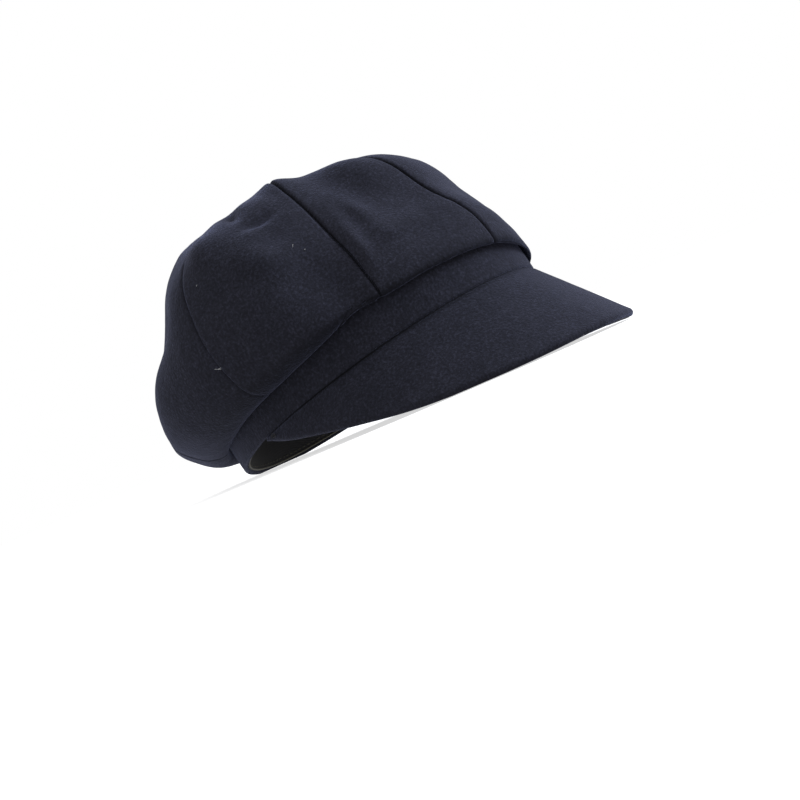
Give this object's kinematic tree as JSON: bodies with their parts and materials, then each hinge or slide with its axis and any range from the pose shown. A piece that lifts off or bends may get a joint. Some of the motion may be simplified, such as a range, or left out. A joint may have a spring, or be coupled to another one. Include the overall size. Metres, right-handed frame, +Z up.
{
  "type": "wool baker boy cap",
  "caption": "Full soft cap of seamed wool panels gathered on a band, with a deep curved peak in front and an open hollow for the head.",
  "frame": {"origin": "centre of the bounding box at the height of the surface that the cap rests on", "axes": "+Z up, the peak points to -Y, and the wearer's right is at -X; the cap lies tipped back by 13.5 degrees, as it rests by itself"},
  "size_m": [0.208, 0.275, 0.139],
  "materials": {
    "wool": "felted navy wool melton with a short fuzzy nap",
    "sweatband_cloth": "thin black twill tape"
  },
  "bodies": {
    "root": {"crown_panel_1": "wool", "crown_panel_2": "wool", "crown_panel_3": "wool", "crown_panel_4": "wool", "crown_panel_5": "wool", "crown_panel_6": "wool", "crown_panel_7": "wool", "crown_panel_8": "wool", "band": "wool", "peak_cover": "wool", "peak_lining": "wool", "sweatband": "sweatband_cloth"}
  },
  "joints": []
}
